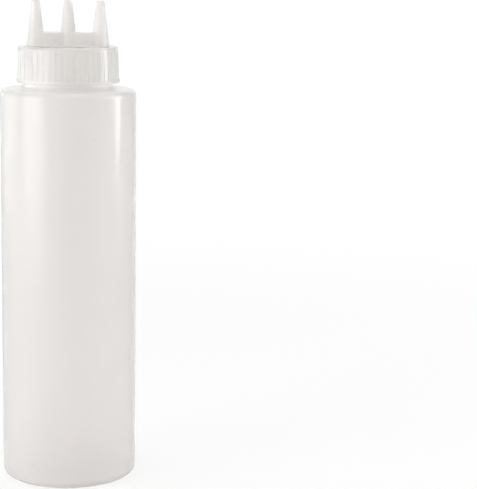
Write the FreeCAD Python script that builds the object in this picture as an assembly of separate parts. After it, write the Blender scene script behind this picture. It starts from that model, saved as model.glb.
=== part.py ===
import FreeCAD, Part
import math
import os

# Three-nozzle squeeze bottle: a blow-moulded bottle and its moulded screw cap.
# Millimetres, +Z up. The origin is the centre of the base, on the table.
# The row of nozzles lies along X.

# Bottle
body_radius = 35.0
shoulder_edge_z = 204.0         # where wall and shoulder would meet unrounded
shoulder_slope = 5.9            # degrees
shoulder_rounding = 3.7
heel_rounding = 4.3
wall = 1.1
base_wall = 1.5
foot_ring_inner_radius = 27.5
foot_ring_rounding = 1.0
push_up = 3.2                   # height of the hollow under the base
push_up_edge_drop = 1.2         # the hollow's roof falls this much towards its edge
push_up_edge_inset = 3.0        # from the foot ring in to the roof's edge
push_up_edge_rounding = 1.5
neck_radius = 22.6
neck_wall = 1.5
neck_foot_rounding = 0.8
inner_neck_foot_rounding = 1.5

# Line left across the base where the mould pinched the tube shut
pinch_length = 40.0
pinch_width = 1.3
pinch_height = 0.45

# Cap
cap_top_z = 226.0
cap_bottom_z = 207.6
deck = 1.6
skirt_radius_top = 25.6
skirt_radius_low = 26.2         # where the skirt meets the bead
rim_rounding = 1.3
bead_radius = 26.45
bead_height = 1.8
bead_foot_rounding = 0.4
skirt_bore_radius = 23.8        # under the deck
skirt_bore_draft = 0.2          # the bore is this much wider at its mouth
seal_clearance = 0.3
seal_wall = 1.1
seal_depth = 3.0
seal_lead_in = 0.5              # chamfer round the foot of the seal ring

# Grip ribs: the strips left between grooves
rib_count = 50
groove_width = 1.5
groove_floor_width = 0.7
groove_depth = 0.35
groove_top_z = 223.9

# Nozzles and the hollow bridge that feeds them
nozzle_spacing = 16.4
nozzle_tip_z = 249.0
nozzle_tip_radius = 1.95
nozzle_half_taper = 6.5         # degrees
nozzle_tip_rounding = 0.55
orifice_radius = 0.95
bore_half_taper = 5.7           # degrees
bridge_top_z = 233.0
bridge_half_depth = 3.45        # at its top
bridge_draft = 3.0              # degrees
bridge_edge_rounding = 0.7
bridge_wall = 1.25
channel_edge_rounding = 0.4
foot_rounding = 0.6

# How far a cutting tool runs out past the faces it opens
overrun = 0.5

# Worked out from the above
push_up_edge_radius = foot_ring_inner_radius - push_up_edge_inset
push_up_edge_z = push_up - push_up_edge_drop
shoulder_rise = (body_radius - neck_radius) * math.tan(math.radians(shoulder_slope))
neck_foot_z = shoulder_edge_z + shoulder_rise
under_deck_z = cap_top_z - deck
mouth_radius = neck_radius - neck_wall
bead_top_z = cap_bottom_z + bead_height
bead_ledge = bead_radius - skirt_radius_low


def section(corners):
    """Closed face in the XZ plane; each corner is (x, z, rounding radius)."""
    points = [FreeCAD.Vector(x, 0, z) for x, z, rounding in corners]
    count = len(corners)
    trims = []
    for i, here in enumerate(points):
        rounding = corners[i][2]
        back = (points[i - 1] - here).normalize()
        ahead = (points[(i + 1) % count] - here).normalize()
        if rounding == 0:
            trims.append((here, None, here))
            continue
        half = back.getAngle(ahead) / 2
        setback = rounding / math.tan(half)
        inward = (back + ahead).normalize()
        crown = here + inward * (rounding / math.sin(half) - rounding)
        trims.append((here + back * setback, crown, here + ahead * setback))
    edges = []
    for i, (start, crown, end) in enumerate(trims):
        if crown:
            edges.append(Part.Arc(start, crown, end).toShape())
        following = trims[(i + 1) % count][0]
        if end.distanceToPoint(following) > 1e-6:
            edges.append(Part.LineSegment(end, following).toShape())
    return Part.Face(Part.Wire(edges))


def revolved(corners):
    """The section turned once about +Z."""
    return section(corners).revolve(FreeCAD.Vector(), FreeCAD.Vector(0, 0, 1), 360)


def bottle_shell():
    """Pushed-up base, straight side, shallow shoulder and plain neck, as one thin wall."""
    inner_radius = body_radius - wall
    ceiling_z = shoulder_edge_z - wall
    ceiling_rise = (inner_radius - mouth_radius) * math.tan(math.radians(shoulder_slope))
    return revolved([
        (0, push_up, 0),
        (push_up_edge_radius, push_up_edge_z, push_up_edge_rounding),
        (foot_ring_inner_radius, 0, foot_ring_rounding),
        (body_radius, 0, heel_rounding),
        (body_radius, shoulder_edge_z, shoulder_rounding),
        (neck_radius, neck_foot_z, neck_foot_rounding),
        (neck_radius, under_deck_z, 0),
        (mouth_radius, under_deck_z, 0),
        (mouth_radius, ceiling_z + ceiling_rise, inner_neck_foot_rounding),
        (inner_radius, ceiling_z, shoulder_rounding - wall),
        (inner_radius, base_wall, heel_rounding - wall),
        (foot_ring_inner_radius, base_wall, foot_ring_rounding),
        (push_up_edge_radius, push_up_edge_z + base_wall, push_up_edge_rounding),
        (0, push_up + base_wall, 0),
    ])


def pinch_line():
    """Low straight ridge that follows the roof of the hollow under the base, along X."""
    reach = pinch_length / 2
    end_z = push_up - push_up_edge_drop * reach / push_up_edge_radius
    roof = [(-reach, end_z), (0, push_up), (reach, end_z)]
    side = -pinch_width / 2
    crest = [FreeCAD.Vector(x, side, z - pinch_height) for x, z in roof]
    root = [FreeCAD.Vector(x, side, z + base_wall / 2) for x, z in reversed(roof)]
    outline = Part.makePolygon(crest + root + crest[:1])
    return Part.Face(outline).extrude(FreeCAD.Vector(0, pinch_width, 0))


def bottle():
    return bottle_shell().fuse(pinch_line())


def cap_shell():
    """Skirt with its foot bead, deck, and the ring below the deck that plugs the mouth."""
    seal_radius = mouth_radius - seal_clearance
    seal_inner_radius = seal_radius - seal_wall
    seal_foot_z = under_deck_z - seal_depth
    return revolved([
        (0, cap_top_z, 0),
        (0, under_deck_z, 0),
        (seal_inner_radius, under_deck_z, 0),
        (seal_inner_radius, seal_foot_z, 0),
        (seal_radius - seal_lead_in, seal_foot_z, 0),
        (seal_radius, seal_foot_z + seal_lead_in, 0),
        (seal_radius, under_deck_z, 0),
        (skirt_bore_radius, under_deck_z, 0),
        (skirt_bore_radius + skirt_bore_draft, cap_bottom_z, 0),
        (bead_radius, cap_bottom_z, bead_foot_rounding),
        (bead_radius, bead_top_z - bead_ledge, 0),
        (skirt_radius_low, bead_top_z, 0),
        (skirt_radius_top, cap_top_z, rim_rounding),
    ])


def grip_grooves():
    """Flat-floored grooves that lean with the skirt, the first half a pitch off the X axis."""
    rise = groove_top_z - bead_top_z
    taper = (skirt_radius_low - skirt_radius_top) / (cap_top_z - bead_top_z)
    floor_x = skirt_radius_low - groove_depth
    mouth_x = skirt_radius_low + overrun
    widening = (groove_width - groove_floor_width) / groove_depth
    mouth_width = groove_floor_width + widening * (mouth_x - floor_x)
    ring = [
        FreeCAD.Vector(floor_x, -groove_floor_width / 2, bead_top_z),
        FreeCAD.Vector(mouth_x, -mouth_width / 2, bead_top_z),
        FreeCAD.Vector(mouth_x, mouth_width / 2, bead_top_z),
        FreeCAD.Vector(floor_x, groove_floor_width / 2, bead_top_z),
    ]
    one = Part.Face(Part.makePolygon(ring + ring[:1])).extrude(FreeCAD.Vector(-taper * rise, 0, rise))
    turned = []
    for i in range(rib_count):
        groove = one.copy()
        groove.rotate(FreeCAD.Vector(), FreeCAD.Vector(0, 0, 1), 360.0 / rib_count * (i + 0.5))
        turned.append(groove)
    return turned


def cones(tip_radius, half_taper, foot_z, tip_z, tip_rounding):
    """One tapered round column for each nozzle."""
    foot_radius = tip_radius + (tip_z - foot_z) * math.tan(math.radians(half_taper))
    column = revolved([
        (0, foot_z, 0),
        (foot_radius, foot_z, 0),
        (tip_radius, tip_z, tip_rounding),
        (0, tip_z, 0),
    ])
    return [column.translated(FreeCAD.Vector(i * nozzle_spacing, 0, 0)) for i in (-1, 0, 1)]


def bridge(half_depth, foot_z, top_z, edge_rounding):
    """Drafted bar from the first nozzle's axis to the last one's."""
    foot_half_depth = half_depth + (top_z - foot_z) * math.tan(math.radians(bridge_draft))
    face = section([
        (-foot_half_depth, foot_z, 0),
        (foot_half_depth, foot_z, 0),
        (half_depth, top_z, edge_rounding),
        (-half_depth, top_z, edge_rounding),
    ])
    bar = face.extrude(FreeCAD.Vector(0, 2 * nozzle_spacing, 0))
    bar.translate(FreeCAD.Vector(0, -nozzle_spacing, 0))
    bar.rotate(FreeCAD.Vector(), FreeCAD.Vector(0, 0, 1), 90)
    return bar


def nozzle_passages():
    """The tapered bores, and the channel under the bridge that joins them and opens below the deck."""
    foot_z = under_deck_z - overrun
    bores = cones(orifice_radius, bore_half_taper, foot_z, nozzle_tip_z + overrun, 0)
    channel_half_depth = bridge_half_depth - bridge_wall
    channel = bridge(channel_half_depth, foot_z, bridge_top_z - bridge_wall, channel_edge_rounding)
    return channel.multiFuse(bores)


def concave_edges(solid):
    """Where the columns meet the bar, and where both stand on the deck."""
    found = []
    for edge in solid.Edges:
        box = edge.BoundBox
        on_deck = abs(box.ZMin - cap_top_z) < 1e-6 and box.ZLength < 1e-6
        if on_deck and box.XMax < nozzle_spacing + 2 * bridge_half_depth:
            found.append(edge)
        above_deck = box.ZMin > cap_top_z - 1e-3 and box.ZMax < bridge_top_z + 1e-3
        if above_deck and not on_deck and edge.Curve.TypeId != "Part::GeomLine":
            found.append(edge)
    return found


def cap():
    """Screw cap with three open nozzles on a hollow bridge."""
    inside_deck_z = cap_top_z - deck / 2
    columns = cones(nozzle_tip_radius, nozzle_half_taper, inside_deck_z, nozzle_tip_z, nozzle_tip_rounding)
    bar = bridge(bridge_half_depth, inside_deck_z, bridge_top_z, bridge_edge_rounding)
    outside = cap_shell().multiFuse([bar] + columns).removeSplitter()
    outside = outside.makeFillet(foot_rounding, concave_edges(outside))
    return outside.cut([nozzle_passages()] + grip_grooves())


os.makedirs("parts", exist_ok=True)
for node, shape in (("bottle", bottle()), ("cap", cap())):
    shape.exportStep("parts/" + node + ".step")
    print(node, shape.isValid(), len(shape.Solids), "solid", round(shape.Volume / 1000, 2), "cm3")
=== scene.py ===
import bpy
import math
from mathutils import Euler, Matrix, Vector

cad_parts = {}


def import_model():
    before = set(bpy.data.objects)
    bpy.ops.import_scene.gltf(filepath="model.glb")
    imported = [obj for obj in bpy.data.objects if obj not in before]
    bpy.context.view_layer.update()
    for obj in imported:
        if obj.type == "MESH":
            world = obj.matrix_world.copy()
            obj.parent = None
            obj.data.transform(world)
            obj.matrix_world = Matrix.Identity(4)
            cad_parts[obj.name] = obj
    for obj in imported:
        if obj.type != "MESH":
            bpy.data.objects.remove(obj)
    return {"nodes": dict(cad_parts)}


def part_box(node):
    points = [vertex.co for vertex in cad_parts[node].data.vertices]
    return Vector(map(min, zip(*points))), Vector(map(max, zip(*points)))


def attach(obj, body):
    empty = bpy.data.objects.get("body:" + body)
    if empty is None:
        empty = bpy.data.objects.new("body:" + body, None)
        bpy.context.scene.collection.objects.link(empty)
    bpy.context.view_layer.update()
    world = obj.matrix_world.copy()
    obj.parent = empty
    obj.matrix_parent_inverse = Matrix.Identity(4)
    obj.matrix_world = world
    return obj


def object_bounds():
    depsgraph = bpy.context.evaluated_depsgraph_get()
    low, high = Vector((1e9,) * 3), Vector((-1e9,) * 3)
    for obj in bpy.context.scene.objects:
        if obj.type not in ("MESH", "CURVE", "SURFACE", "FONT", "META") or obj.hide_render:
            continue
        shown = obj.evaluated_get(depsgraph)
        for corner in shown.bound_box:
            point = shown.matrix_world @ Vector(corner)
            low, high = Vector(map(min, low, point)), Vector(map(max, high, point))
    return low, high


# Neck thread, in metres: a ridge that winds up the neck inside the cap's skirt
NECK_RADIUS = 0.0226
THREAD_START = 0.004              # above the cap's lower edge
THREAD_CREST_RADIUS = 0.0235
THREAD_ROOT_WIDTH = 0.0022
THREAD_CREST_WIDTH = 0.0009
THREAD_PITCH = 0.0045
THREAD_TURNS = 1.75
THREAD_STEPS = 84                 # sections per turn
THREAD_FADE = 0.12                # of a turn, at each end
FADED_SINK = 0.0001               # depth of a wholly faded crest in the neck's wall
ROOT_SINK = 0.0003                # depth of the ridge's root in the neck's wall
LEAST_RISE = 0.02                 # share of the crest's height that is left at the very ends

# Colours of the plastic
BOTTLE_PALE = (0.985, 0.957, 0.934)
BOTTLE_CLOUDY = (0.975, 0.947, 0.924)
CAP_PALE = (0.99, 0.972, 0.955)
CAP_CLOUDY = (0.983, 0.964, 0.946)
# painted light: a whiter colour for the band just under the cap, standing in for light scattered into the
# cap's shade
NECK_PAINTED_LIGHT = (0.998, 0.99, 0.98)
DIRT = (0.35, 0.3, 0.27)

# How clear, rough and deep the plastic is
BOTTLE_CLEAR = 0.6
# the painted-light band under the cap is also made nearly opaque
NECK_CLEAR = 0.05
CAP_CLEAR = 0.55
NECK_LIGHT_HEIGHTS = (0.2025, 0.2053)   # painted light: between these heights, in metres, the wall turns into the whiter, less clear band under the cap
BOTTLE_ROUGHNESS = (0.48, 0.56)
CAP_ROUGHNESS = (0.5, 0.6)
BOTTLE_COAT_ROUGHNESS = 0.22
CAP_COAT_ROUGHNESS = 0.17
BOTTLE_SCATTER = 0.004            # metres
CAP_SCATTER = 0.014               # metres
PLASTIC_IOR = 1.25
COAT_IOR = 1.5

# Patterns in the plastic: noise scales are per metre, heights are in metres
CLOUD_SCALE = 26
CLOUD_DETAIL = 4.0
CLOUD_STRETCH = (1, 1, 0.35)
CLOUD_STOPS = (0.3, 0.7)
ROUGHNESS_SCALE = 70
WAVE_SCALE = 38
WAVE_STRETCH = (1, 1, 0.25)
WAVE_HEIGHT = 0.00015
GRAIN_SCALE = 1500
GRAIN_HEIGHT = 0.00002
BUMP_DETAIL = 2.0
BUMP_STRENGTH = 0.35

# Dirt on the wall: direction round the bottle from the front (degrees, right is plus), height, radius
SPECKS = [(21.5, 0.181, 0.00025), (-33.0, 0.0116, 0.00022), (-31.6, 0.0118, 0.00018)]
SPECK_CORE = 0.4                  # share of a speck's radius that is wholly dark

# Floor: white paper
FLOOR_RADIUS = 0.9
FLOOR_GAP = 0.0002                # below the foot
PAPER = (0.93, 0.93, 0.93)
PAPER_ROUGHNESS = 0.9
FADE_START = 0.2                  # of the floor's radius
FADE_END = 0.9                    # of the floor's radius
GLOW_NEAR = 0.7                   # share of plain white near the object

# Lamps: azimuth from the front (degrees, right is plus), distance, height, height it faces,
# width, length, radiance
LAMPS = {
    "key": (-62, 1.2, 0.35, 0.1, 0.86, 1.0, 2.7),
    "edge": (-115, 1.2, 0.35, 0.1, 0.75, 1.0, 1.2),
    "strip": (90, 1.0, 0.5, 0.5, 0.14, 0.9, 9.5),
    "fill": (50, 1.2, 0.35, 0.13, 0.7, 1.0, 0.25),
    "top": (0, 0.0, 1.3, 0.0, 1.2, 1.2, 1.0),
}
WORLD_FILL = 0.55                 # what the white room adds to the lamps

# Camera, in metres, degrees and millimetres of lens
CAMERA_DISTANCE = 0.8494
CAMERA_HEIGHT = 0.27305
CAMERA_YAW = 6.0
CAMERA_PITCH = 10.016
CAMERA_ROLL = 0.85
CAMERA_LENS = 120.6

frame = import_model()
cad_low, cad_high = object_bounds()
body_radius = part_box("bottle")[1].x
cap_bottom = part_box("cap")[0].z


# ---------------------------------------------------------------- materials

class Tree:
    """Short names for making a material's nodes."""

    def __init__(self, name):
        self.material = bpy.data.materials.new(name)
        self.material.use_nodes = True
        self.nodes = self.material.node_tree.nodes
        self.links = self.material.node_tree.links
        self.shader = self.nodes["Principled BSDF"]
        self.place = self.nodes.new("ShaderNodeTexCoord").outputs["Object"]

    def link(self, source, target):
        self.links.new(source, target)

    def mapped(self, scale):
        node = self.nodes.new("ShaderNodeMapping")
        node.inputs["Scale"].default_value = scale
        self.link(self.place, node.inputs["Vector"])
        return node.outputs["Vector"]

    def noise(self, scale, detail=3.0, stretch=(1, 1, 1)):
        node = self.nodes.new("ShaderNodeTexNoise")
        node.inputs["Scale"].default_value = scale
        node.inputs["Detail"].default_value = detail
        self.link(self.mapped(stretch), node.inputs["Vector"])
        return node.outputs["Fac"]

    def ramp(self, source, stops):
        """Blends from the first stop's colour to the second's; a stop is a position and a colour."""
        node = self.nodes.new("ShaderNodeValToRGB")
        for element, (position, color) in zip(node.color_ramp.elements, stops):
            element.position = position
            element.color = (*color, 1)
        self.link(source, node.inputs["Fac"])
        return node.outputs["Color"]

    def range(self, source, low, high, start=0.0, end=1.0):
        node = self.nodes.new("ShaderNodeMapRange")
        node.inputs["From Min"].default_value = start
        node.inputs["From Max"].default_value = end
        node.inputs["To Min"].default_value = low
        node.inputs["To Max"].default_value = high
        self.link(source, node.inputs["Value"])
        return node.outputs["Result"]

    def bump(self, height, distance, onto=None):
        node = self.nodes.new("ShaderNodeBump")
        node.inputs["Distance"].default_value = distance
        node.inputs["Strength"].default_value = BUMP_STRENGTH
        self.link(height, node.inputs["Height"])
        if onto is not None:
            self.link(onto, node.inputs["Normal"])
        return node.outputs["Normal"]

    def mix(self, share, low, high):
        """From the colour that comes out of low to the plain colour high."""
        node = self.nodes.new("ShaderNodeMix")
        node.data_type = "RGBA"
        self.link(share, node.inputs["Factor"])
        self.link(low, node.inputs["A"])
        node.inputs["B"].default_value = (*high, 1)
        return node.outputs["Result"]

    def distance(self, place):
        node = self.nodes.new("ShaderNodeVectorMath")
        node.operation = "DISTANCE"
        self.link(self.place, node.inputs[0])
        node.inputs[1].default_value = place
        return node.outputs["Value"]

    def height(self):
        node = self.nodes.new("ShaderNodeSeparateXYZ")
        self.link(self.place, node.inputs["Vector"])
        return node.outputs["Z"]


def frosted_plastic(name, pale, cloudy, clear, roughness, coat_roughness, scatter, specks=(), neck=None):
    """Milky polyethylene: cloudy and translucent, under a satin skin with fine moulding grain. Given neck
    heights, the wall between them is painted whiter and made less clear: painted light in the shade under
    the cap.
    """
    tree = Tree(name)
    shader = tree.shader
    cloud = tree.noise(CLOUD_SCALE, CLOUD_DETAIL, CLOUD_STRETCH)
    color = tree.ramp(cloud, list(zip(CLOUD_STOPS, (cloudy, pale))))
    for azimuth, height, radius in specks:
        turn = math.radians(azimuth)
        place = (body_radius * math.sin(turn), -body_radius * math.cos(turn), height)
        spot = tree.range(tree.distance(place), 1.0, 0.0, radius * SPECK_CORE, radius)
        color = tree.mix(spot, color, DIRT)
    # painted light: the band just under the cap is whitened and made less clear to lift the shade there
    if neck:
        share = tree.range(tree.height(), 0.0, 1.0, *neck)
        color = tree.mix(share, color, NECK_PAINTED_LIGHT)
        tree.link(tree.range(share, clear, NECK_CLEAR), shader.inputs["Transmission Weight"])
    else:
        shader.inputs["Transmission Weight"].default_value = clear
    tree.link(color, shader.inputs["Base Color"])
    tree.link(tree.range(tree.noise(ROUGHNESS_SCALE), *roughness), shader.inputs["Roughness"])
    wave = tree.bump(tree.noise(WAVE_SCALE, BUMP_DETAIL, WAVE_STRETCH), WAVE_HEIGHT)
    grain = tree.bump(tree.noise(GRAIN_SCALE, BUMP_DETAIL), GRAIN_HEIGHT, wave)
    tree.link(grain, shader.inputs["Normal"])
    shader.inputs["IOR"].default_value = PLASTIC_IOR
    shader.inputs["Coat Weight"].default_value = 1.0
    shader.inputs["Coat IOR"].default_value = COAT_IOR
    shader.inputs["Coat Roughness"].default_value = coat_roughness
    shader.inputs["Subsurface Weight"].default_value = 1.0
    shader.inputs["Subsurface Radius"].default_value = (1.0, 1.0, 1.0)
    shader.inputs["Subsurface Scale"].default_value = scatter
    return tree.material


def dress(node, material):
    mesh = frame["nodes"][node].data
    mesh.materials.clear()
    mesh.materials.append(material)


bottle_frost = frosted_plastic("bottle_frost", BOTTLE_PALE, BOTTLE_CLOUDY, BOTTLE_CLEAR, BOTTLE_ROUGHNESS,
                               BOTTLE_COAT_ROUGHNESS, BOTTLE_SCATTER, SPECKS, NECK_LIGHT_HEIGHTS)
cap_frost = frosted_plastic("cap_frost", CAP_PALE, CAP_CLOUDY, CAP_CLEAR, CAP_ROUGHNESS,
                            CAP_COAT_ROUGHNESS, CAP_SCATTER)
dress("bottle", bottle_frost)
dress("cap", cap_frost)


# ---------------------------------------------------------------- neck thread

def thread():
    """A trapezoid ridge swept up the neck, fading into it at both ends."""
    low = cap_bottom + THREAD_START
    count = round(THREAD_TURNS * THREAD_STEPS)
    root = NECK_RADIUS - ROOT_SINK
    points, faces = [], []
    for i in range(count + 1):
        turn = i / THREAD_STEPS
        rise = min(1.0, turn / THREAD_FADE, (THREAD_TURNS - turn) / THREAD_FADE)
        full = THREAD_CREST_RADIUS - NECK_RADIUS + FADED_SINK
        crest = NECK_RADIUS - FADED_SINK + full * max(rise, LEAST_RISE)
        middle = low + turn * THREAD_PITCH
        angle = turn * 2 * math.pi
        for radius, up in ((root, -THREAD_ROOT_WIDTH / 2), (crest, -THREAD_CREST_WIDTH / 2),
                           (crest, THREAD_CREST_WIDTH / 2), (root, THREAD_ROOT_WIDTH / 2)):
            points.append((radius * math.cos(angle), radius * math.sin(angle), middle + up))
        if i:
            here, before = 4 * i, 4 * (i - 1)
            faces += [(before + j, here + j, here + (j + 1) % 4, before + (j + 1) % 4) for j in range(4)]
    faces += [(3, 2, 1, 0), tuple(4 * count + j for j in range(4))]
    mesh = bpy.data.meshes.new("neck_thread")
    mesh.from_pydata(points, [], faces)
    mesh.validate()
    mesh.materials.append(bottle_frost)
    made = bpy.data.objects.new("neck_thread", mesh)
    bpy.context.scene.collection.objects.link(made)
    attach(made, "root")


thread()


# ---------------------------------------------------------------- floor, lamps, room, camera

def seen_ray(nodes, links):
    """1 for rays from the camera, in reflections and through the plastic, and 0 for the rest."""
    path = nodes.new("ShaderNodeLightPath")
    total = path.outputs["Is Camera Ray"]
    for kind in ("Is Glossy Ray", "Is Transmission Ray"):
        add = nodes.new("ShaderNodeMath")
        add.operation = "MAXIMUM"
        links.new(total, add.inputs[0])
        links.new(path.outputs[kind], add.inputs[1])
        total = add.outputs[0]
    return total


def floor():
    """White paper that keeps the object's shadow near it and fades into the white all round."""
    bpy.ops.mesh.primitive_circle_add(vertices=96, radius=FLOOR_RADIUS, fill_type="NGON")
    disc = bpy.context.object
    disc.name = "floor"
    disc.location.z = cad_low.z - FLOOR_GAP
    tree = Tree("floor_paper")
    nodes, links = tree.nodes, tree.links
    tree.shader.inputs["Base Color"].default_value = (*PAPER, 1)
    tree.shader.inputs["Roughness"].default_value = PAPER_ROUGHNESS
    glow = nodes.new("ShaderNodeEmission")
    fade = nodes.new("ShaderNodeMapRange")
    fade.interpolation_type = "SMOOTHSTEP"
    fade.inputs["From Min"].default_value = FLOOR_RADIUS * FADE_START
    fade.inputs["From Max"].default_value = FLOOR_RADIUS * FADE_END
    fade.inputs["To Min"].default_value = GLOW_NEAR
    fade.inputs["To Max"].default_value = 1.0
    links.new(tree.distance((0, 0, 0)), fade.inputs["Value"])
    share = nodes.new("ShaderNodeMath")
    share.operation = "MULTIPLY"
    links.new(seen_ray(nodes, links), share.inputs[0])
    links.new(fade.outputs["Result"], share.inputs[1])
    mix = nodes.new("ShaderNodeMixShader")
    links.new(share.outputs[0], mix.inputs["Fac"])
    links.new(tree.shader.outputs["BSDF"], mix.inputs[1])
    links.new(glow.outputs["Emission"], mix.inputs[2])
    links.new(mix.outputs["Shader"], nodes["Material Output"].inputs["Surface"])
    disc.data.materials.append(tree.material)


def lamps():
    """Softboxes round the bottle, each turned to a point on its axis."""
    for name, (azimuth, away, height, aim, width, length, radiance) in LAMPS.items():
        turn = math.radians(azimuth)
        place = Vector((away * math.sin(turn), -away * math.cos(turn), height))
        data = bpy.data.lights.new(name, "AREA")
        data.shape = "RECTANGLE"
        data.size = width
        data.size_y = length
        data.energy = radiance * math.pi * width * length
        made = bpy.data.objects.new(name, data)
        bpy.context.scene.collection.objects.link(made)
        made.location = place
        made.rotation_euler = (Vector((0, 0, aim)) - place).to_track_quat("-Z", "Y").to_euler()


def world():
    """A room that is white where it is seen and gives the object a little even light."""
    room = bpy.data.worlds.new("studio")
    bpy.context.scene.world = room
    room.use_nodes = True
    nodes, links = room.node_tree.nodes, room.node_tree.links
    background = nodes["Background"]
    background.inputs["Color"].default_value = (1, 1, 1, 1)
    level = nodes.new("ShaderNodeMapRange")
    level.inputs["To Min"].default_value = WORLD_FILL
    level.inputs["To Max"].default_value = 1.0
    links.new(seen_ray(nodes, links), level.inputs["Value"])
    links.new(level.outputs["Result"], background.inputs["Strength"])


def camera():
    """A long lens aimed beside the bottle, so that it stands at the frame's left."""
    yaw, pitch, roll = (math.radians(angle) for angle in (CAMERA_YAW, CAMERA_PITCH, CAMERA_ROLL))
    data = bpy.data.cameras.new("camera")
    data.sensor_width = 36
    data.lens = CAMERA_LENS
    made = bpy.data.objects.new("camera", data)
    bpy.context.scene.collection.objects.link(made)
    turn = Euler((math.pi / 2 - pitch, 0, -yaw)).to_matrix() @ Matrix.Rotation(roll, 3, "Z")
    made.matrix_world = Matrix.Translation((0, -CAMERA_DISTANCE, CAMERA_HEIGHT)) @ turn.to_4x4()
    bpy.context.scene.camera = made


floor()
lamps()
world()
camera()

light_paths = bpy.context.scene.cycles
light_paths.max_bounces = 24
light_paths.diffuse_bounces = 12
light_paths.transmission_bounces = 16
light_paths.glossy_bounces = 8

bpy.context.scene.view_settings.view_transform = "Standard"
